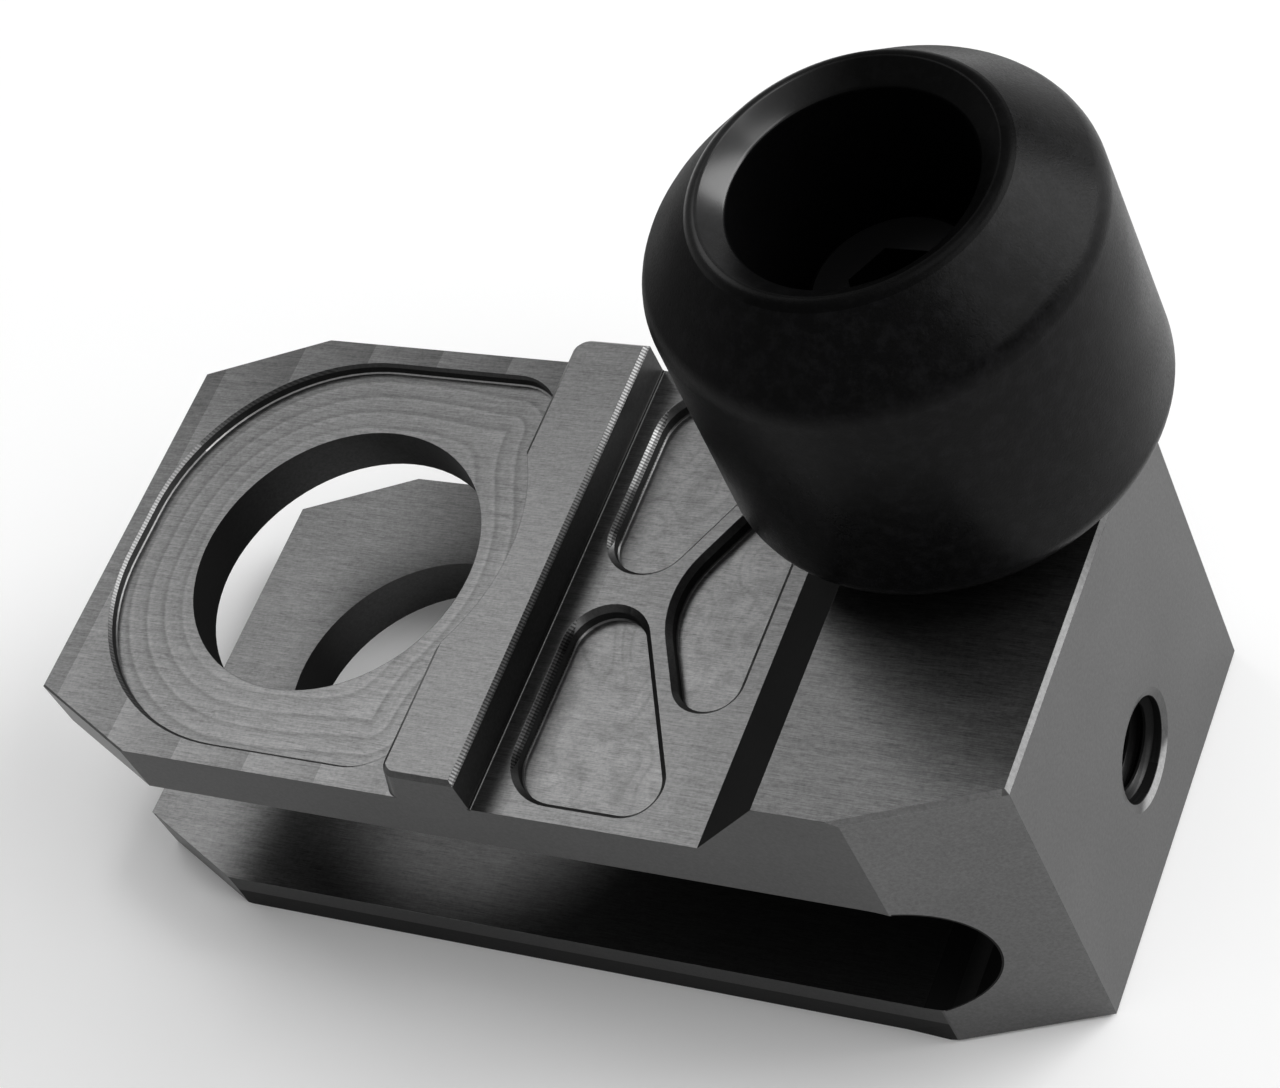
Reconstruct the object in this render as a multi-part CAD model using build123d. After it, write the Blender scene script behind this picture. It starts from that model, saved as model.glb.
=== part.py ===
from build123d import *
from math import radians, sin, tan
import os

# Motorcycle chain adjuster, one side of the pair. A block milled from one billet of aluminium
# carries the wheel axle in two ears, straddles the swingarm on its round-ended slot, and takes
# the adjusting screw in its closed end. A turned acetal slider puck is screwed down on the
# closed end, over its far edge, with a steel washer and a socket head cap screw.
# Millimetres. Origin on the axle bore's axis at the underside, +X towards the closed end,
# +Z towards the puck, +Y towards the side that the puck overhangs.

# Block outline
block_width = 41.0
ear_reach = 20.3  # bore axis to the open end
end_reach = 65.4  # bore axis to the closed end
ear_corner_run = 10.2  # corner chamfers of the ears, along the block and across it
ear_corner_depth = 4.6
end_corner_run = 11.0  # the same at the closed end
end_corner_depth = 4.4
edge_break = 0.15  # bevel of the ears' outer edges
end_edge_break = 0.35  # bevel round the closed end

# Ears and slot
axle_bore = 25.0
lower_ear = 4.75
slot_height = 14.5
upper_ear = 5.25
end_wall = 5.4  # from the slot's round end to the closed end's face

# Shallow relief along both flanks of the lower ear, running out before the closed end
relief_height = 2.7
relief_depth = 0.2
relief_reach = 54.4
relief_runout = 4.5

# Recess that seats the axle block or nut, with the nut's swing cut into the cross bar
recess_depth = 1.0
recess_end_rim = 1.5
recess_side_rim = 1.75
recess_end_radius = 16.5
recess_bar_radius = 5.0
recess_rim_break = 0.25
recess_floor_bevel = 0.1
nut_swing_radius = 18.2

# Cross bar
bar_start = 14.6  # foot of its leaning wall
bar_lean = 1.1  # how far that wall leans back over the bar's height
bar_height = 3.5  # above the ear
bar_end = 22.05
bar_front_break = 0.25
bar_back_break = 0.37
bar_side_break = 0.35
bar_corner_radius = 1.2  # where its leaning wall meets the flanks
bar_foot_radius = 0.25

# Trussed panel between the bar and the ramp
panel_length = 19.05  # bar to the foot of the ramp
pocket_depth = 1.35
pocket_rim_break = 0.45  # bevel round a pocket's mouth, outside its walls
pocket_floor_bevel = 0.12
pocket_bar_rim = 1.94
pocket_side_rim = 1.75
pocket_ramp_rim = 1.85
strut_width = 2.0  # between the pockets' walls
strut_angle = 27.2  # from the block's cross direction
strut_meet = 7.28  # from the bar to where the struts' centre lines meet
apex_radius = 3.2
heel_radius = 4.0
toe_radius = 2.5
middle_radius = 8.0
middle_toe_radius = 2.5

# Closed end
ramp_run = 6.7
end_rise = 7.1  # above the ear
adjuster_thread = 8.0  # M8, modelled plain at its outer diameter
adjuster_drop = 0.75  # hole centre below the slot's middle
adjuster_countersink = 9.4
adjuster_sink_depth = 0.25

# Slider puck, turned from black acetal
puck_inset = 12.65  # axis from the closed end's face
puck_offset = 11.9  # and from the block's middle
puck_radius = 16.56
puck_height = 29.0
puck_base_radius = 12.56
puck_base_bevel = 4.0  # height of the bevel above the block
puck_shoulder_drop = 5.3  # shoulder below the top
puck_taper = 0.25  # how much slimmer the shoulder is than the widest ring
puck_lip_radius = 10.9
puck_lip_width = 0.5
puck_bore_radius = 8.75
puck_bore_countersink = 1.3
puck_floor = 8.0

# Puck screw, M8 x 20 socket head cap, and its washer
screw_thread = 8.0
screw_length = 20.0
screw_head = 13.0
screw_head_height = 8.0
screw_head_break = 0.6
screw_hex = 6.0
screw_hex_depth = 4.0
screw_hole_clearance = 0.4  # on diameter, in the puck and washer
screw_thread_clearance = 0.1  # on diameter, in the block's plain-modelled thread
washer_diameter = 16.0
washer_thickness = 1.6

# Worked out from the above
half_width = block_width / 2
slot_radius = slot_height / 2
slot_end = end_reach - end_wall
slot_middle = lower_ear + slot_radius
slot_ceiling = lower_ear + slot_height
ear_top = slot_ceiling + upper_ear
bar_top = ear_top + bar_height
bar_top_start = bar_start + bar_lean
recess_floor = ear_top - recess_depth
panel_end = bar_end + panel_length
end_start = panel_end + ramp_run
end_top = ear_top + end_rise
puck_x = end_reach - puck_inset
puck_y = puck_offset
beyond = 1.0  # how far cutting tools overrun a face
upright = (Align.CENTER, Align.CENTER, Align.MIN)  # turned shapes stand on their base


def plan_face():
    # The block seen from above: a bar with all four corners chamfered
    ear_corner_y = half_width - ear_corner_depth
    end_corner_y = half_width - end_corner_depth
    far_side = [
        (-ear_reach, ear_corner_y),
        (-ear_reach + ear_corner_run, half_width),
        (end_reach - end_corner_run, half_width),
        (end_reach, end_corner_y),
    ]
    near_side = [(x, -y) for x, y in reversed(far_side)]
    return make_face(Polyline(*far_side, *near_side, close=True))


def side_face():
    # The block seen from the near side: ears, leaning bar, panel, ramp and closed end
    lean = bar_lean / bar_height
    break_x = bar_top_start - lean * bar_front_break
    outline = Polyline(
        (-ear_reach, 0),
        (end_reach, 0),
        (end_reach, end_top),
        (end_start, end_top),
        (panel_end, ear_top),
        (bar_end, ear_top),
        (bar_end, bar_top - bar_back_break),
        (bar_end - bar_back_break, bar_top),
        (bar_top_start + bar_front_break, bar_top),
        (break_x, bar_top - bar_front_break),
        (bar_start, ear_top),
        (-ear_reach, ear_top),
        close=True,
    )
    face = make_face(outline)
    bar_foot = face.vertices().sort_by_distance((bar_end, ear_top))[0]
    return Plane.XZ * fillet(bar_foot, bar_foot_radius)


def edges_at(solid, height, axis=None):
    # Edges of the solid that lie flat at one height
    edges = solid.edges().filter_by_position(Axis.Z, height - 0.001, height + 0.001)
    return edges.filter_by(axis) if axis else edges


def milled_blank():
    # The billet after its outside is milled, with its outer edges broken
    plan = extrude(plan_face(), amount=end_top)
    blank = plan & extrude(side_face(), amount=half_width, both=True)

    corner_start = end_reach - end_corner_run
    for height in (0, end_top):
        rim = [e for e in edges_at(blank, height) if e.center().X > corner_start]
        blank = chamfer(rim, end_edge_break)

    for side in (-1, 1):
        middle = (bar_start + bar_lean / 2, side * half_width, ear_top + bar_height / 2)
        corner = blank.edges().sort_by_distance(middle)[0]
        blank = fillet(corner, bar_corner_radius)
    blank = chamfer(edges_at(blank, bar_top, Axis.X), bar_side_break)

    for height in (0, ear_top):
        rim = [e for e in edges_at(blank, height) if e.center().X < -ear_reach + ear_corner_run]
        blank = chamfer(rim, edge_break)
    return blank


def swingarm_slot():
    # Round-ended slot, open at the ears and through both flanks
    straight = Pos(-ear_reach / 2 + (slot_end - slot_radius) / 2, slot_middle) * Rectangle(
        ear_reach + slot_end - slot_radius, slot_height
    )
    mouth = Pos(-ear_reach, slot_middle) * Rectangle(2 * beyond, slot_height)
    outline = straight + mouth + Pos(slot_end - slot_radius, slot_middle) * Circle(slot_radius)
    return extrude(Plane.XZ * outline, amount=half_width + beyond, both=True)


def flank_relief(side):
    # Wedge off the lower ear's outer flank that thins to nothing at its run-out
    section = make_face(
        Polyline(
            (side * half_width, relief_height),
            (side * (half_width - relief_depth), 0),
            (side * (half_width + beyond), 0),
            (side * (half_width + beyond), relief_height),
            close=True,
        )
    )
    length = ear_reach + relief_reach
    wedge = Pos(-ear_reach, 0, 0) * extrude(Plane.YZ * section, amount=length)
    runout = make_face(
        Polyline(
            (-ear_reach, side * (half_width - relief_depth)),
            (relief_reach - relief_runout, side * (half_width - relief_depth)),
            (relief_reach, side * half_width),
            (relief_reach, side * (half_width + beyond)),
            (-ear_reach, side * (half_width + beyond)),
            close=True,
        )
    )
    return wedge & extrude(runout, amount=relief_height)


def broken_tool(outline, start, height, bevel):
    # A cutter standing on the level start, with a bevel round its foot
    tool = extrude(outline, amount=height)
    tool = chamfer(tool.faces().sort_by(Axis.Z)[0].edges(), bevel)
    return Pos(0, 0, start) * tool


def recess_outline(inset):
    # The recess seen from above, a given distance inside its rim's outer edge
    length = bar_start + ear_reach - recess_end_rim - inset
    width = block_width - 2 * (recess_side_rim + inset)
    seat = Pos(bar_start - length / 2, 0) * Rectangle(length, width)
    corners = seat.vertices().group_by(Axis.X)
    seat = fillet(corners[0], min(recess_end_radius - inset, width / 2 - 0.01))
    return fillet(seat.vertices().group_by(Axis.X)[-1], recess_bar_radius - inset)


def axle_recess():
    # Shallow seat round the bore, with the nut's swing biting into the bar
    seat = recess_outline(recess_rim_break) + Circle(nut_swing_radius)
    height = bar_top - recess_floor + beyond
    tool = broken_tool(seat, recess_floor, height, recess_floor_bevel)
    rim_start = ear_top - recess_rim_break
    return tool + broken_tool(recess_outline(0), rim_start, beyond, recess_rim_break)


def axle_bore_tool():
    # Bore through both ears
    bore = Cylinder(axle_bore / 2, ear_top + 2 * beyond, align=upright)
    return Pos(0, 0, -beyond) * bore


def pocket_tool(outline):
    # A pocket's cutter, with the bevel round its mouth
    start = ear_top - pocket_depth
    tool = broken_tool(outline, start, pocket_depth + beyond, pocket_floor_bevel)
    mouth = offset(outline, pocket_rim_break)
    return tool + broken_tool(mouth, ear_top - pocket_rim_break, beyond, pocket_rim_break)


def strut_side(x, offset):
    # Where a line beside the near strut's centre line, offset across it, stands at x
    angle = radians(strut_angle)
    return offset / sin(angle) - (x - bar_end - strut_meet) / tan(angle)


def round_corner(face, point, radius):
    corner = face.vertices().sort_by_distance(point)[0]
    return fillet(corner, radius)


def side_pocket():
    # Right-angled triangle between the bar, the near flank and the near strut
    left = bar_end + pocket_bar_rim
    outer = -half_width + pocket_side_rim
    apex = (left, strut_side(left, -strut_width / 2))
    toe = (left + (apex[1] - outer) * tan(radians(strut_angle)), outer)
    heel = (left, outer)
    outline = make_face(Polyline(apex, toe, heel, close=True))
    outline = round_corner(outline, apex, apex_radius)
    outline = round_corner(outline, heel, heel_radius)
    outline = round_corner(outline, toe, toe_radius)
    return pocket_tool(outline)


def middle_pocket():
    # Flat triangle between the two struts and the ramp
    right = panel_end - pocket_ramp_rim
    toe_y = strut_side(right, strut_width / 2)
    vertex = (right + toe_y * tan(radians(strut_angle)), 0)
    outline = make_face(Polyline(vertex, (right, toe_y), (right, -toe_y), close=True))
    outline = round_corner(outline, vertex, middle_radius)
    outline = round_corner(outline, (right, toe_y), middle_toe_radius)
    outline = round_corner(outline, (right, -toe_y), middle_toe_radius)
    return pocket_tool(outline)


def adjuster_hole():
    # Through the closed end's wall into the slot, countersunk at its mouth
    radius = adjuster_thread / 2
    depth = end_wall + slot_radius
    hole = Cylinder(radius, depth + beyond, align=upright)
    sink = (adjuster_countersink - adjuster_thread) / 2
    cone = Cone(radius, radius + 2 * sink, 2 * adjuster_sink_depth, align=upright)
    tool = hole + Pos(0, 0, depth - adjuster_sink_depth) * cone
    start = (end_reach - depth, 0, slot_middle - adjuster_drop)
    return Plane(origin=start, x_dir=(0, 1, 0), z_dir=(1, 0, 0)) * tool


def puck_screw_hole():
    # Tapped from the closed end's top into the slot
    radius = (screw_thread + screw_thread_clearance) / 2
    hole = Cylinder(radius, end_top - slot_middle + beyond, align=upright)
    return Pos(puck_x, puck_y, slot_middle) * hole


def axle_block():
    block = milled_blank() - swingarm_slot()
    block -= flank_relief(-1)
    block -= flank_relief(1)
    block -= axle_recess()
    block -= axle_bore_tool()
    near_pocket = side_pocket()
    block -= near_pocket
    block -= near_pocket.mirror(Plane.XZ)
    block -= middle_pocket()
    block -= adjuster_hole()
    block -= puck_screw_hole()
    return block


def slider_puck():
    shoulder_z = puck_height - puck_shoulder_drop
    shoulder_radius = puck_radius - puck_taper
    hole_radius = (screw_thread + screw_hole_clearance) / 2
    mouth_radius = puck_lip_radius - puck_lip_width
    outline = Polyline(
        (hole_radius, 0),
        (puck_base_radius, 0),
        (puck_radius, puck_base_bevel),
        (shoulder_radius, shoulder_z),
        (puck_lip_radius, puck_height),
        (mouth_radius, puck_height),
        (puck_bore_radius, puck_height - puck_bore_countersink),
        (puck_bore_radius, puck_floor),
        (hole_radius, puck_floor),
        close=True,
    )
    puck = revolve(Plane.XZ * make_face(outline), Axis.Z)
    return Pos(puck_x, puck_y, end_top) * puck


def puck_washer():
    hole_radius = (screw_thread + screw_hole_clearance) / 2
    washer = Cylinder(washer_diameter / 2, washer_thickness, align=upright)
    washer -= Cylinder(hole_radius, 3 * washer_thickness)
    return Pos(puck_x, puck_y, end_top + puck_floor) * washer


def puck_screw():
    head_start = screw_length
    head_end = screw_length + screw_head_height
    radius = screw_thread / 2
    outline = Polyline(
        (0, 0),
        (radius, 0),
        (radius, head_start),
        (screw_head / 2, head_start),
        (screw_head / 2, head_end - screw_head_break),
        (screw_head / 2 - screw_head_break, head_end),
        (0, head_end),
        close=True,
    )
    screw = revolve(Plane.XZ * make_face(outline), Axis.Z)
    socket = extrude(RegularPolygon(screw_hex / 2, 6, major_radius=False), amount=screw_hex_depth)
    screw -= Pos(0, 0, head_end - screw_hex_depth) * socket
    return Pos(puck_x, puck_y, end_top + puck_floor + washer_thickness - screw_length) * screw


nodes = {
    "axle_block": axle_block,
    "slider_puck": slider_puck,
    "puck_washer": puck_washer,
    "puck_screw": puck_screw,
}

os.makedirs("parts", exist_ok=True)
for name, make in nodes.items():
    export_step(make(), f"parts/{name}.step")
    print(name)
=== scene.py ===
import math

import bmesh
import bpy
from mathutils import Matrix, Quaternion, Vector


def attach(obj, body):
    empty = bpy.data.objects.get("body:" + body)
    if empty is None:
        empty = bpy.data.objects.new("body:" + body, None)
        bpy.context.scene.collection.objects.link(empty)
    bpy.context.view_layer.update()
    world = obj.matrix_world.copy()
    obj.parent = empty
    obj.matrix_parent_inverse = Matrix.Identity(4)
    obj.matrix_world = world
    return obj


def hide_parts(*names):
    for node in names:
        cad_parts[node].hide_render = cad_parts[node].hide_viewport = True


# Motorcycle chain adjuster: the looks of its milled axle block, turned slider puck, washer and
# screw, on a white studio floor. Blender's units are metres; the sizes below are millimetres.

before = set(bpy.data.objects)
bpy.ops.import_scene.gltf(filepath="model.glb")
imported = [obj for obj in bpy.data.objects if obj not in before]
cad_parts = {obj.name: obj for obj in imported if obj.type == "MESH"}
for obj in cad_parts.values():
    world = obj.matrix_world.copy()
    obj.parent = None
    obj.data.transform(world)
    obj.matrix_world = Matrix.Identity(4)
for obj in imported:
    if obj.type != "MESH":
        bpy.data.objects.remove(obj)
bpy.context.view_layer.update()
mm = 0.001
print("frame loaded:", ", ".join(sorted(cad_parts)))


class Wire:
    # A node's output, so that a pattern can be written as a sum
    def __init__(self, coat, socket):
        self.coat = coat
        self.socket = socket

    def __add__(self, other):
        return self.coat.maths("ADD", self, other)

    __radd__ = __add__

    def __sub__(self, other):
        return self.coat.maths("SUBTRACT", self, other)

    def __rsub__(self, other):
        return self.coat.maths("SUBTRACT", other, self)

    def __mul__(self, other):
        return self.coat.maths("MULTIPLY", self, other)

    __rmul__ = __mul__

    def __truediv__(self, other):
        return self.coat.maths("DIVIDE", self, other)

    def __mod__(self, other):
        return self.coat.maths("FLOORED_MODULO", self, other)

    def __gt__(self, other):
        return self.coat.maths("GREATER_THAN", self, other)

    def __lt__(self, other):
        return self.coat.maths("LESS_THAN", self, other)

    def __neg__(self):
        return self.coat.maths("SUBTRACT", 0.0, self)

    def __abs__(self):
        return self.coat.maths("ABSOLUTE", self)


def near(value, level, reach=0.3):
    return abs(value - level) < reach


def between(value, low, high):
    return (value > low) * (value < high)


class Coat:
    # One material: its nodes and its shader
    def __init__(self, name, **fixed):
        self.material = bpy.data.materials.new(name)
        self.material.use_nodes = True
        self.tree = self.material.node_tree
        self.shader = self.tree.nodes["Principled BSDF"]
        for socket, value in fixed.items():
            self.shader.inputs[socket.replace("_", " ")].default_value = value

    def node(self, kind, settings, sockets, out=0):
        made = self.tree.nodes.new("ShaderNode" + kind)
        for name, value in settings.items():
            setattr(made, name, value)
        for name, value in sockets.items():
            if isinstance(value, Wire):
                self.tree.links.new(value.socket, made.inputs[name])
            else:
                made.inputs[name].default_value = value
        return Wire(self, made.outputs[out])

    def maths(self, operation, *values):
        return self.node("Math", {"operation": operation}, dict(enumerate(values)))

    def distance(self, first, second):
        return self.maths("SQRT", first * first + second * second)

    def step(self, value, start, end):
        # 0 before start, 1 after end, smooth between
        sockets = {"Value": value, "From Min": start, "From Max": end}
        return self.node("MapRange", {"interpolation_type": "SMOOTHSTEP"}, sockets)

    def noise(self, x, y, z, scale=1.0, detail=2.0, rough=0.5):
        spot = self.node("CombineXYZ", {}, {"X": x, "Y": y, "Z": z})
        sockets = {"Vector": spot, "Scale": scale, "Detail": detail, "Roughness": rough}
        return self.node("TexNoise", {}, sockets)

    def grey(self, tone, cool=0.0):
        # A grey of that tone as a colour, bluer by that share
        sockets = {"Red": tone, "Green": tone, "Blue": tone * (1.0 + cool)}
        return self.node("CombineColor", {}, sockets)

    def split(self, kind, out):
        spot = self.node(kind, {}, {}, out)
        parts = self.node("SeparateXYZ", {}, {"Vector": spot}).socket.node.outputs
        return [Wire(self, part) for part in parts]

    def place(self):
        # Object coordinates in millimetres
        return [part * (1.0 / mm) for part in self.split("TexCoord", 3)]

    def facing(self):
        # The flat face's own direction
        return self.split("NewGeometry", 3)

    def feed(self, socket, wire):
        self.tree.links.new(wire.socket, self.shader.inputs[socket])

    def darken(self, share, tone, roughness):
        # Mixes in a dark shader by that share, as painted shade
        paintedDark = self.tree.nodes.new("ShaderNodeBsdfPrincipled")
        paintedDark.inputs["Base Color"].default_value = (tone, tone, tone, 1.0)
        paintedDark.inputs["Roughness"].default_value = roughness
        paintedDark.inputs["Specular IOR Level"].default_value = 0.0
        mixed = self.tree.nodes.new("ShaderNodeMixShader")
        self.tree.links.new(share.socket, mixed.inputs[0])
        self.tree.links.new(self.shader.outputs[0], mixed.inputs[1])
        self.tree.links.new(paintedDark.outputs[0], mixed.inputs[2])
        out = self.tree.nodes["Material Output"]
        self.tree.links.new(mixed.outputs[0], out.inputs["Surface"])


# Camera where the photographer stood, with the picture turned against the horizon
camera = {
    "place": (146.647, -113.490, 212.402),
    "aim": (12.781, 17.619, 2.995),
    "turn": -30.378,  # degrees
    "lens": 92.93,
    "film": 36.0,
    "clip": (0.01, 50.0),  # metres
}


def makeCamera():
    lens = bpy.data.cameras.new("photoCamera")
    lens.lens = camera["lens"]
    lens.sensor_width = camera["film"]
    lens.clip_start, lens.clip_end = camera["clip"]
    eye = bpy.data.objects.new("photoCamera", lens)
    bpy.context.scene.collection.objects.link(eye)
    place = Vector(camera["place"]) * mm
    ahead = Vector(camera["aim"]) * mm - place
    level = ahead.to_track_quat("-Z", "Y")
    eye.location = place
    eye.rotation_mode = "QUATERNION"
    eye.rotation_quaternion = level @ Quaternion((0, 0, 1), math.radians(camera["turn"]))
    bpy.context.scene.camera = eye


makeCamera()
print("camera set")

# Studio: white floor, pale grey surroundings and four softboxes
studio = {
    "floor size": 12.0,  # metres
    "floor tone": 0.95,
    "surroundings": 0.35,
    "softboxes": {
        "earSoftbox": {"place": (-228, 150, 400), "size": 200, "brightness": 2.6},
        "endSoftbox": {"place": (910, 672, 464), "size": 880, "brightness": 6.0},
        "topSoftbox": {"place": (400, 300, 1400), "size": 800, "brightness": 2.2},
        "frontSoftbox": {"place": (758, -50, 604), "size": 450, "brightness": 3.2},
    },
    "lit point": (20, 0, 20),
}


def makeFloor():
    bm = bmesh.new()
    bmesh.ops.create_grid(bm, x_segments=1, y_segments=1, size=studio["floor size"] / 2)
    mesh = bpy.data.meshes.new("studioFloor")
    bm.to_mesh(mesh)
    bm.free()
    floor = bpy.data.objects.new("studioFloor", mesh)
    bpy.context.scene.collection.objects.link(floor)
    tone = studio["floor tone"]
    paper = Coat("studioPaper", Roughness=1.0, Base_Color=(tone, tone, tone, 1.0), Specular_IOR_Level=0.0)
    mesh.materials.append(paper.material)


def makeSoftboxes():
    lit = Vector(studio["lit point"]) * mm
    for name, box in studio["softboxes"].items():
        size = box["size"] * mm
        lamp = bpy.data.lights.new(name, "AREA")
        lamp.shape = "SQUARE"
        lamp.size = size
        lamp.energy = box["brightness"] * math.pi * size * size
        made = bpy.data.objects.new(name, lamp)
        bpy.context.scene.collection.objects.link(made)
        made.location = Vector(box["place"]) * mm
        made.rotation_mode = "QUATERNION"
        made.rotation_quaternion = (lit - made.location).to_track_quat("-Z", "Y")


def makeSurroundings():
    world = bpy.data.worlds.new("surroundings")
    bpy.context.scene.world = world
    world.use_nodes = True
    tree = world.node_tree
    tree.nodes.clear()
    sky = tree.nodes.new("ShaderNodeBackground")
    sky.inputs["Color"].default_value = (1.0, 1.0, 1.0, 1.0)
    sky.inputs["Strength"].default_value = studio["surroundings"]
    out = tree.nodes.new("ShaderNodeOutputWorld")
    tree.links.new(sky.outputs[0], out.inputs["Surface"])
    bpy.context.scene.view_settings.view_transform = "Standard"


makeFloor()
makeSoftboxes()
makeSurroundings()
print("studio lit")

# Axle block: milled billet, anodised dark grey, with the cutter's marks left on it. Sizes are those
# of the solid, and every share below is of the plain tone.
billet = {
    "tone": 0.15,
    "edge tint": 0.8,  # how much of a metal's glancing shine the anodising keeps
    "roughness": 0.34,
    "edge round": 0.06,
    "half width": 20.5,
    "ear top": 24.5,
    "bar top": 28.0,
    "end top": 31.6,
    "bar": (14.6, 22.05),
    "panel end": 41.1,
    "end": 65.4,
    "bore": 12.5,
    "adjuster": {"height": 11.25, "countersink": 4.35, "end": 58.3},
    "slot": {"low": 4.75, "high": 19.25, "end": 52.75, "middle": 12.0, "radius": 7.25},
    "relief": {"top": 2.75, "end": 54.2},
    "recess": {
        "floor": 23.5,
        "from": -18.55,
        "half width": 18.5,
        "end radius": 16.25,
        "bar radius": 4.75,
        "swing": 18.2,  # radius of the arc cut into the bar
    },
    "pocket": {"floor": 23.15, "wall": (23.28, 24.04), "rim": (23.5, 24.05), "arc": (-6.0, -1.0)},
    "grain": {"fine": 1.5, "broad": 0.5, "everywhere": 0.35, "on top": 0.7, "gloss": 0.08, "depth": 0.00002},
    "clouds": 0.25,
    "dust": 0.7,
    # painted shade on the sides, across the ear's top and on the closed end's top; painted light on the
    # pocket floors
    "sides": 0.86,
    "across ear": 0.004,  # per millimetre towards the far flank
    "pocket floor": 0.12,
    "end top shade": 0.15,
    "rim passes": {"start": -11.8, "length": 6.65, "first": 0.1, "fall": 0.3, "far": 0.2},
    "rings": {"step": 1.57, "line": 0.2, "paintedGlint": 0.13, "fade": 0.6},
    # pass boundaries, and painted shade at the bar's foot
    "panel passes": {"foot": 24.9, "last": 38.1, "strip": 0.22},
    "panel shades": {"pass": 0.1, "foot": 0.38, "last": 0.06, "strip": 0.45},
    "swirls": {"sweep": 0.7, "contour": 0.13, "bands": 10.0},
    "ticks": {"pitch": 0.28, "contrast": 0.9, "on recess": 0.6},
    # painted shade and highlights on the bevels, the flanks and the countersink
    "bar edge": {"near": 0.3, "fall": 0.5, "along": (-4.0, 10.0)},
    "pocket edge": {"plain": 0.05, "fall": 0.35, "along": (-3.0, 0.0), "shine": 0.75, "shines": (8.8, 9.6)},
    "pocket lower edge": 0.6,
    "pocket arc": 0.45,
    "end's side edge": 1.2,
    "recess wall's foot": 2.2,
    "recess wall's top": 0.5,
    "flank": {"near ear": 0.45, "gain": 0.08, "along": (0.0, 35.0)},
    "chamfer": 0.1,
    "end edge": {"near": 0.38, "fall": 0.35, "along": (-3.0, 6.0)},
    "countersink": {"bright": 2.6, "paintedDark": 0.15, "low": (0.7, 0.92)},  # low in shares of its radius
    # painted shade: a dark shader mixed in where little light gets in
    "unlit": {  # share of light lost where little gets in
        "tone": 0.008,
        "ramp": 0.75,
        "slot ceiling": 0.85,
        "slot end": 0.9,
        "slot floor": 0.72,
        "bore": 0.95,
        "bore far side": 0.55,
        "recess wall": 0.35,
        "thread": 0.97,
        "bar wall": 0.5,
        "bar foot": 0.7,
        "pocket wall": 0.5,
        "lower flank": 0.3,
        "relief": 0.45,
    },
}


class Spot:
    # A point of the block's surface: its place, its direction and the face that it is on
    def __init__(self, coat):
        self.coat = coat
        self.x, self.y, self.z = coat.place()
        self.nx, self.ny, self.nz = coat.facing()
        barFrom, barTo = billet["bar"]
        self.up = self.nz > 0.95
        earTop = self.up * near(self.z, billet["ear top"])
        self.rim = earTop * (self.x < barFrom + 0.1)
        self.panel = earTop * (self.x > barTo - 0.05)
        self.recess = self.up * near(self.z, billet["recess"]["floor"])
        self.pocket = self.up * near(self.z, billet["pocket"]["floor"], 0.2)
        self.flank = (abs(self.ny) > 0.97) * (abs(self.y) > billet["half width"] - 0.4)
        self.steep = between(self.nz, 0.5, 0.93)
        self.sloped = between(self.nz, 0.3, 0.93)
        self.bevel = self.steep * (self.nx > 0.25)
        self.aboveFloor = self.z - billet["recess"]["floor"]
        self.low = billet["adjuster"]["height"] - self.z
        self.holeOut = coat.distance(self.y, self.low)


def grainAndPaintedShade(spot, grain):
    # Grain, soft clouds and dust, with painted shade: the sides darker than what faces up, the ear's top
    # darker towards its far flank and the closed end's top darker; the pocket floors are painted lighter
    coat, x, y, z, up = spot.coat, spot.x, spot.y, spot.z, spot.up
    cloud = coat.noise(x, y, z, scale=0.09, detail=2.0)
    dust = coat.noise(x, y, z, scale=3.5, detail=2.0, rough=0.7)
    shown = up * billet["grain"]["on top"] + billet["grain"]["everywhere"]
    tone = 1.0 + grain * shown + (cloud - 0.5) * billet["clouds"] + (dust - 0.5) * billet["dust"]
    paintedFarShade = up * (x < billet["bar"][0]) * y * billet["across ear"]
    tone = tone * (billet["sides"] + up * (1.0 - billet["sides"]) - paintedFarShade)
    endTop = up * near(z, billet["end top"])
    return tone * (1.0 + spot.pocket * billet["pocket floor"] - endTop * billet["end top shade"])


def rimPasses(spot):
    # Facing passes on the ear's rim: each starts light and darkens to the next. The rim also darkens towards
    # its far side as painted shade.
    passes = billet["rim passes"]
    passed = ((spot.x - passes["start"]) % passes["length"]) / passes["length"]
    far = spot.coat.step(spot.y, 8.0, 18.0)
    return 1.0 + spot.rim * (passes["first"] - passed * passes["fall"] - far * passes["far"])


def insideRecess(spot):
    # How far a point lies inside the foot of the recess's wall
    coat, x, y = spot.coat, spot.x, spot.y
    recess = billet["recess"]
    barFrom = billet["bar"][0]
    middle = (recess["from"] + barFrom) / 2
    half = (barFrom - recess["from"]) / 2
    endSide = x < middle
    radius = endSide * (recess["end radius"] - recess["bar radius"]) + recess["bar radius"]
    along = abs(x - middle) - half + radius
    across = abs(y) - recess["half width"] + radius
    corner = coat.distance(coat.maths("MAXIMUM", along, 0.0), coat.maths("MAXIMUM", across, 0.0))
    flat = coat.maths("MINIMUM", coat.maths("SMOOTH_MAX", along, across, 6.0), 0.0)
    seat = radius - corner - flat
    swing = recess["swing"] - coat.distance(x, y)
    return coat.maths("SMOOTH_MAX", seat, swing, 5.0)


def recessRings(spot):
    # The recess is cleared in rings from its wall inwards, each with a dark line and a light line painted as
    # a glint
    coat, rings = spot.coat, billet["rings"]
    depth = insideRecess(spot)
    ring = (depth % rings["step"]) / rings["step"]
    line = coat.step(ring, 0.6, 0.9) - coat.step(ring, 0.93, 1.0)
    paintedGlint = coat.step(ring, 0.0, 0.06) - coat.step(ring, 0.06, 0.35)
    fade = 1.0 - coat.step(depth, 4.0, 9.0) * rings["fade"]
    return 1.0 + spot.recess * fade * (paintedGlint * rings["paintedGlint"] - line * rings["line"])


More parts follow.
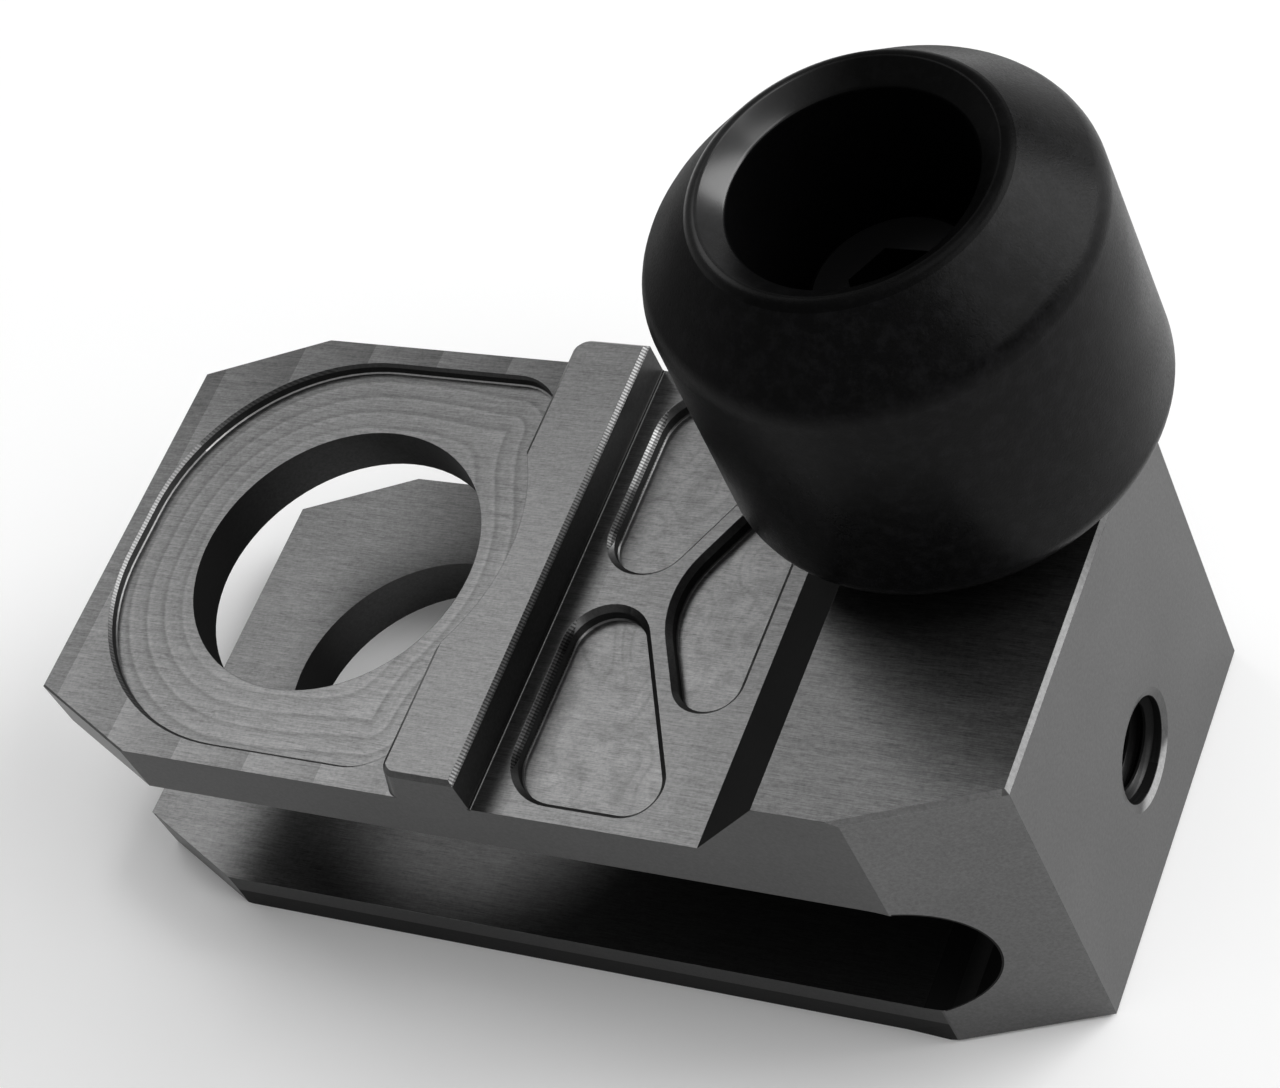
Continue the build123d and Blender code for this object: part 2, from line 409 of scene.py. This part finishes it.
def panelPasses(spot):
    # Two pass boundaries along the bar's side, with painted shade darkest at the bar's foot and in a strip
    # along it
    x, passes, shades = spot.x, billet["panel passes"], billet["panel shades"]
    barTo = billet["bar"][1]
    foot = 1.0 - spot.coat.step(x, barTo, passes["foot"])
    last = 1.0 - spot.panel * (x > passes["last"]) * shades["last"]
    first = 1.0 - spot.panel * (x < passes["foot"]) * (shades["pass"] + foot * shades["foot"])
    strip = 1.0 - spot.panel * (x < barTo + passes["strip"]) * shades["strip"]
    return last * first * strip


def pocketSwirls(spot):
    # The end mill's swirls, as soft contour bands of a cloud
    coat, x, y, z, swirls = spot.coat, spot.x, spot.y, spot.z, billet["swirls"]
    relieved = coat.noise(x * 0.8, y * 0.6, 0.0, scale=0.2, detail=1.0, rough=0.4) * swirls["bands"]
    contour = 1.0 - coat.step(abs((relieved % 1.0) - 0.5), 0.0, 0.26)
    sweep = coat.noise(x * 0.5, y * 0.5, z * 0.5, scale=0.9, detail=3.0, rough=0.6) - 0.5
    return 1.0 + spot.pocket * (sweep * swirls["sweep"] - contour * swirls["contour"])


def cutterTicks(spot):
    # Ticks across the bevels of the bar, the pockets and the recess, with painted shade and a painted shine
    # along the bar's and the pockets' bevels
    coat, x, y, z, bevel = spot.coat, spot.x, spot.y, spot.z, spot.bevel
    ticks, barEdge, pocketEdge = billet["ticks"], billet["bar edge"], billet["pocket edge"]
    barTo = billet["bar"][1]
    rimLow, rimHigh = billet["pocket"]["rim"]
    onBar = bevel * between(x, barTo - 1.05, barTo + 0.05) * (z > billet["bar top"] - 0.5)
    onPocket = bevel * between(x, rimLow, rimHigh) * (z < billet["ear top"])
    onRecess = bevel * (x < -6.0) * (spot.aboveFloor > 0.5)
    tick = ((y % ticks["pitch"]) / ticks["pitch"]) > 0.5
    ticked = onBar + onPocket + onRecess * ticks["on recess"]
    marks = 1.0 + ticked * (tick - 0.55) * ticks["contrast"]
    # painted highlight and shade along the bar's bevel, painted shine and shade along the pockets' bevels,
    # painted shade on their lower half
    barShade = 1.0 - onBar * (coat.step(y, *barEdge["along"]) * barEdge["fall"] - barEdge["near"])
    shine = coat.step(y, *pocketEdge["shines"]) * pocketEdge["shine"]
    fall = coat.step(y, *pocketEdge["along"]) * pocketEdge["fall"]
    pocketShade = 1.0 + onPocket * (shine - fall - pocketEdge["plain"])
    lowerHalf = 1.0 - onPocket * (z < billet["ear top"] - 0.23) * billet["pocket lower edge"]
    return marks * barShade * pocketShade * lowerHalf


def edgeShades(spot):
    # Bevels painted darker or lighter than their neighbours, as painted shade and painted highlights
    x, y, z, ny, above = spot.x, spot.y, spot.z, spot.ny, spot.aboveFloor
    earTop = billet["ear top"]
    arc = spot.sloped * between(z, earTop - 0.5, earTop) * between(y, *billet["pocket"]["arc"])
    pocketArc = arc * between(x, billet["pocket"]["rim"][0], 28.0)
    endSide = spot.steep * (abs(ny) > 0.4) * (z > billet["end top"] - 0.5)
    farWall = spot.sloped * (ny < -0.3) * (x < billet["bar"][0])
    wallFoot = farWall * between(above, -0.05, 0.2)
    wallTop = farWall * between(above, 0.6, 1.05) * (y > 5.0)
    edges = (1.0 - pocketArc * billet["pocket arc"]) * (1.0 + endSide * billet["end's side edge"])
    walls = (1.0 + wallFoot * billet["recess wall's foot"]) * (1.0 - wallTop * billet["recess wall's top"])
    return edges * walls


def sideShades(spot):
    # Painted shade on the flanks and the side chamfers, and on the closed end's top edge, growing towards
    # the puck
    coat, x, y, paintedFlankShade, endEdge = spot.coat, spot.x, spot.y, billet["flank"], billet["end edge"]
    endBevel = spot.bevel * (x > billet["end"] - 0.5)
    chamfer = (abs(spot.ny) > 0.3) * (abs(spot.nz) < 0.3) * (abs(y) > 12.6) * (1.0 - spot.flank)
    flankShade = spot.flank * (paintedFlankShade["near ear"] - coat.step(x, *paintedFlankShade["along"]) * paintedFlankShade["gain"])
    bevelShade = endBevel * (endEdge["near"] + coat.step(y, *endEdge["along"]) * endEdge["fall"])
    return 1.0 - flankShade - chamfer * billet["chamfer"] - bevelShade


def countersinkShine(spot):
    # The adjuster hole's countersink: a painted highlight low down and painted shade on the rest of it
    radius, cut = billet["adjuster"]["countersink"], billet["countersink"]
    sunk = (spot.holeOut < radius + 0.38) * (spot.x > billet["end"] - 0.3) * (spot.nx < 0.99)
    paintedLowHighlight = spot.coat.step(spot.low / radius, *cut["low"])
    return 1.0 + sunk * (paintedLowHighlight * cut["bright"] - cut["paintedDark"])


def slotUnlit(spot):
    # Painted shade in the slot: its ceiling, its round end and its floor towards the closed end
    x, y, z, slot, unlit = spot.x, spot.y, spot.z, billet["slot"], billet["unlit"]
    inSlot = between(z, slot["low"] - 0.1, slot["high"] + 0.1) * (abs(y) < billet["half width"] - 0.05)
    endOut = spot.coat.distance(x - slot["end"], z - slot["middle"])
    roundEnd = near(endOut, slot["radius"], 0.15) * (x > slot["end"])
    floor = spot.up * spot.coat.step(x, -14.0, 3.0)
    ceiling = spot.nz < -0.95
    shares = ceiling * unlit["slot ceiling"] + roundEnd * unlit["slot end"] + floor * unlit["slot floor"]
    return inSlot * shares


def boreUnlit(spot):
    # Painted shade on the bore's wall, the recess's wall where it faces the bore, and the adjuster hole's
    # thread
    coat, x, y, unlit = spot.coat, spot.x, spot.y, billet["unlit"]
    bore = near(coat.distance(x, y), billet["bore"], 0.1) * (abs(spot.nz) < 0.5)
    boreShare = bore * (unlit["bore"] - coat.step(y, 1.0, 11.0) * unlit["bore far side"])
    wall = between(spot.aboveFloor, 0.05, 0.8) * (x < billet["bar"][0]) * (abs(spot.nz) < 0.3)
    facesBore = (x * spot.nx + y * spot.ny) < 0.0
    wallShare = wall * (1.0 - bore) * facesBore * unlit["recess wall"]
    threaded = (spot.holeOut < billet["adjuster"]["countersink"] - 0.3) * (x > billet["adjuster"]["end"])
    turned = ((x % 0.4) > 0.2) * 0.12
    threadShare = threaded * (unlit["thread"] - coat.step(spot.low, 2.2, 3.8) * (0.14 + turned))
    return boreShare + wallShare + threadShare


def outsideUnlit(spot):
    # Painted shade on the ramp, the bar's back wall and its foot, the pockets' walls and the lower flank
    x, y, z, unlit = spot.x, spot.y, spot.z, billet["unlit"]
    barTo = billet["bar"][1]
    ramp = (spot.nx < -0.6) * (x > billet["panel end"] - 0.1)
    barWall = near(x, barTo, 0.1) * (z > billet["ear top"] - 0.1) * (spot.nx > 0.3)
    barFoot = near(x, barTo, 0.14) * near(z, billet["ear top"], 0.14)
    pocketWall = between(z, *billet["pocket"]["wall"]) * between(x, 22.5, 40.0)
    pocketWall = pocketWall * (abs(spot.nz) < 0.2) * (abs(y) < 19.5)
    lower = spot.flank * (z < billet["slot"]["low"] + 0.1) * (x < billet["relief"]["end"])
    relief = lower * (z < billet["relief"]["top"])
    top = ramp * unlit["ramp"] + barWall * unlit["bar wall"] + barFoot * unlit["bar foot"]
    top = top + pocketWall * unlit["pocket wall"]
    return top + lower * unlit["lower flank"] + relief * unlit["relief"]


def makeBillet():
    coat = Coat("milledBillet", Metallic=1.0, Specular_Tint=(billet["edge tint"],) * 3 + (1.0,))
    spot = Spot(coat)
    x, y, z, brushed = spot.x, spot.y, spot.z, billet["grain"]
    fine = coat.noise(x * 0.7, y * 13.0, z * 13.0, detail=3.0, rough=0.7)
    broad = coat.noise(x * 0.12, y * 2.2, z * 2.2, detail=3.0, rough=0.6)
    grain = (fine - 0.5) * brushed["fine"] + (broad - 0.5) * brushed["broad"]
    tone = grainAndPaintedShade(spot, grain)
    for mark in (rimPasses, recessRings, panelPasses, pocketSwirls, cutterTicks, edgeShades, sideShades,
                 countersinkShine):
        tone = tone * mark(spot)
    coat.feed("Base Color", coat.grey(tone * billet["tone"]))
    coat.feed("Roughness", billet["roughness"] + grain * brushed["gloss"])
    rounding = coat.node("Bevel", {"samples": 8}, {"Radius": billet["edge round"] * mm})
    ridges = {"Strength": 0.15, "Distance": brushed["depth"], "Height": fine, "Normal": rounding}
    coat.feed("Normal", coat.node("Bump", {}, ridges))
    # painted shade where little light gets in
    unlit = slotUnlit(spot) + boreUnlit(spot) + outsideUnlit(spot)
    coat.darken(unlit, billet["unlit"]["tone"], 0.5)
    return coat.material


def dress(name, material):
    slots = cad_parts[name].data.materials
    for index in range(len(slots)):
        slots[index] = material


blockFinish = makeBillet()
dress("axle_block", blockFinish)
print("axle block finished")


def makeObject(name, bm, material, sharpAngle):
    bmesh.ops.recalc_face_normals(bm, faces=bm.faces)
    mesh = bpy.data.meshes.new(name)
    bm.to_mesh(mesh)
    bm.free()
    mesh.shade_smooth()
    mesh.set_sharp_from_angle(angle=math.radians(sharpAngle))
    mesh.materials.append(material)
    made = bpy.data.objects.new(name, mesh)
    bpy.context.scene.collection.objects.link(made)
    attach(made, "root")
    return made


# Turns of the M8 thread in the adjuster hole
thread = {
    "start": 60.2,
    "end": 65.12,
    "pitch": 1.25,
    "root": 4.0,  # radius at the hole's wall
    "crest": 3.4,
    "crest width": 0.2,
    "flank share": 0.42,  # of the pitch, from a turn's middle to its root
    "steps": 40,  # per turn
    "sharp": 30.0,  # degrees
}


def makeThread():
    bm = bmesh.new()
    half = thread["pitch"] * thread["flank share"]
    flat = thread["crest width"] / 2
    root, crest = thread["root"], thread["crest"]
    profile = ((-half, root), (-flat, crest), (flat, crest), (half, root))
    begin = thread["start"] + half
    corners = [bm.verts.new(((begin + along) * mm, 0.0, out * mm)) for along, out in profile]
    edges = [bm.edges.new(pair) for pair in zip(corners, corners[1:] + corners[:1])]
    bm.faces.new(corners)
    turns = (thread["end"] - thread["start"] - 2 * half) / thread["pitch"]
    steps = round(turns * thread["steps"])
    advance = (thread["pitch"] * mm / thread["steps"], 0.0, 0.0)
    spun = bmesh.ops.spin(bm, geom=corners + edges, axis=(1, 0, 0), cent=(0, 0, 0), dvec=advance,
                          angle=math.tau * turns, steps=steps)
    last = [part for part in spun["geom_last"] if isinstance(part, bmesh.types.BMVert)]
    bmesh.ops.contextual_create(bm, geom=last)
    bmesh.ops.translate(bm, vec=(0.0, 0.0, billet["adjuster"]["height"] * mm), verts=bm.verts)
    makeObject("adjusterThread", bm, blockFinish, thread["sharp"])


makeThread()
print("adjuster thread cut")

# Slider puck, turned from black acetal: its outline from the screw hole round to the bore
puck = {
    "axis": (52.75, 11.9),
    "base": 31.6,
    "outline": (
        (4.2, 0.0, 0.0),  # radius, height, rounding of that corner
        (12.56, 0.0, 0.3),
        (16.56, 4.0, 1.0),
        (16.31, 23.7, 1.1),
        (10.95, 29.0, 0.4),
        (10.4, 29.0, 0.1),
        (8.75, 27.7, 0.25),
        (8.75, 8.0, 0.2),
        (4.2, 8.0, 0.0),
    ),
    "steps": 128,
    "sharp": 32.0,  # degrees
    "tone": 0.0015,
    "cool": 0.08,
    "dust": 0.003,
    "roughness": 0.34,
    "specular": 0.075,
    "mouth gloss": 0.9,  # the countersink and its lip are turned smoother
    "mouth roughness": 0.22,
    "mouth": (8.8, 10.5, 11.4),  # radii: bore's edge, lip, where the cone starts
    "mouth height": 27.0,
    "cone height": (20.0, 24.0),
    # painted shade
    "shaded": 0.6,  # share of light lost on the lip and on the cone's shaded side
    "shaded tone": 0.002,
}


def makeAcetal():
    coat = Coat("blackAcetal", Specular_IOR_Level=puck["specular"], Coat_Roughness=puck["mouth roughness"])
    x, y, z = coat.place()
    cloud = coat.noise(x, y, z, scale=0.16, detail=3.0)
    speckle = coat.noise(x, y, z, scale=5.0, detail=2.0, rough=0.7)
    handled = coat.noise(x, y, z, scale=0.9, detail=4.0, rough=0.7)
    axisX, axisY = puck["axis"]
    aside = x - axisX
    beside = y - axisY
    out = coat.distance(aside, beside)
    height = z - puck["base"]
    edge, lip, cone = puck["mouth"]

    tone = puck["tone"] * (1.0 + (cloud - 0.5) * 0.5 + (speckle - 0.5) * 0.9)
    dust = coat.step(handled, 0.42, 0.7) * (out > edge + 0.1) * puck["dust"]
    coat.feed("Base Color", coat.grey(tone + dust, cool=puck["cool"]))
    coat.feed("Roughness", puck["roughness"] + (speckle - 0.5) * 0.3 + (cloud - 0.5) * 0.2)
    bump = coat.node("Bump", {}, {"Strength": 0.35, "Distance": 0.00004, "Height": speckle})
    coat.feed("Normal", bump)

    # The mouth is worn glossy on the ear's side; painted shade darkens the rest of the mouth and the cone's
    # side that turns away from the end
    glossyUnshadedSide = coat.step(-aside, 2.0, 8.0)
    mouth = between(out, edge, cone) * (height > puck["mouth height"])
    gloss = mouth * ((out < lip) * 0.7 + 0.3) * (glossyUnshadedSide * 0.85 + 0.15)
    coat.feed("Coat Weight", gloss * puck["mouth gloss"])
    coneFace = (out > cone) * coat.step(height, *puck["cone height"])
    paintedConeShade = coneFace * coat.step(beside * 0.45 - aside * 0.9, 0.0, 7.0)
    coat.darken((mouth * (1.0 - glossyUnshadedSide) + paintedConeShade) * puck["shaded"], puck["shaded tone"], 0.6)
    return coat.material


def makePuck():
    bm = bmesh.new()
    corners = [bm.verts.new((radius * mm, 0.0, height * mm)) for radius, height, rounding in puck["outline"]]
    for first, second in zip(corners, corners[1:] + corners[:1]):
        bm.edges.new((first, second))
    for corner, (radius, height, rounding) in zip(corners, puck["outline"]):
        if rounding:
            bmesh.ops.bevel(bm, geom=[corner], affect="VERTICES", offset=rounding * mm, segments=5,
                            profile=0.5, material=-1)
    bmesh.ops.spin(bm, geom=bm.verts[:] + bm.edges[:], axis=(0, 0, 1), cent=(0, 0, 0),
                   angle=math.tau, steps=puck["steps"], use_merge=True)
    bmesh.ops.remove_doubles(bm, verts=bm.verts, dist=0.000001)
    where = Vector((*puck["axis"], puck["base"])) * mm
    bmesh.ops.translate(bm, vec=where, verts=bm.verts)
    made = makeObject("sliderPuck", bm, makeAcetal(), puck["sharp"])
    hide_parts("slider_puck")


makePuck()
print("slider puck turned")

# Steels of the washer and the screw
washer = {"steel": "zincSteel", "colour": (0.05, 0.05, 0.052, 1.0), "roughness": 0.35}
screw = {"steel": "blackOxide", "colour": (0.018, 0.018, 0.0185, 1.0), "roughness": 0.4}


def dressSteel(name, piece):
    coat = Coat(piece["steel"], Metallic=1.0, Roughness=piece["roughness"], Base_Color=piece["colour"])
    dress(name, coat.material)


dressSteel("puck_washer", washer)
dressSteel("puck_screw", screw)
print("washer and screw finished")
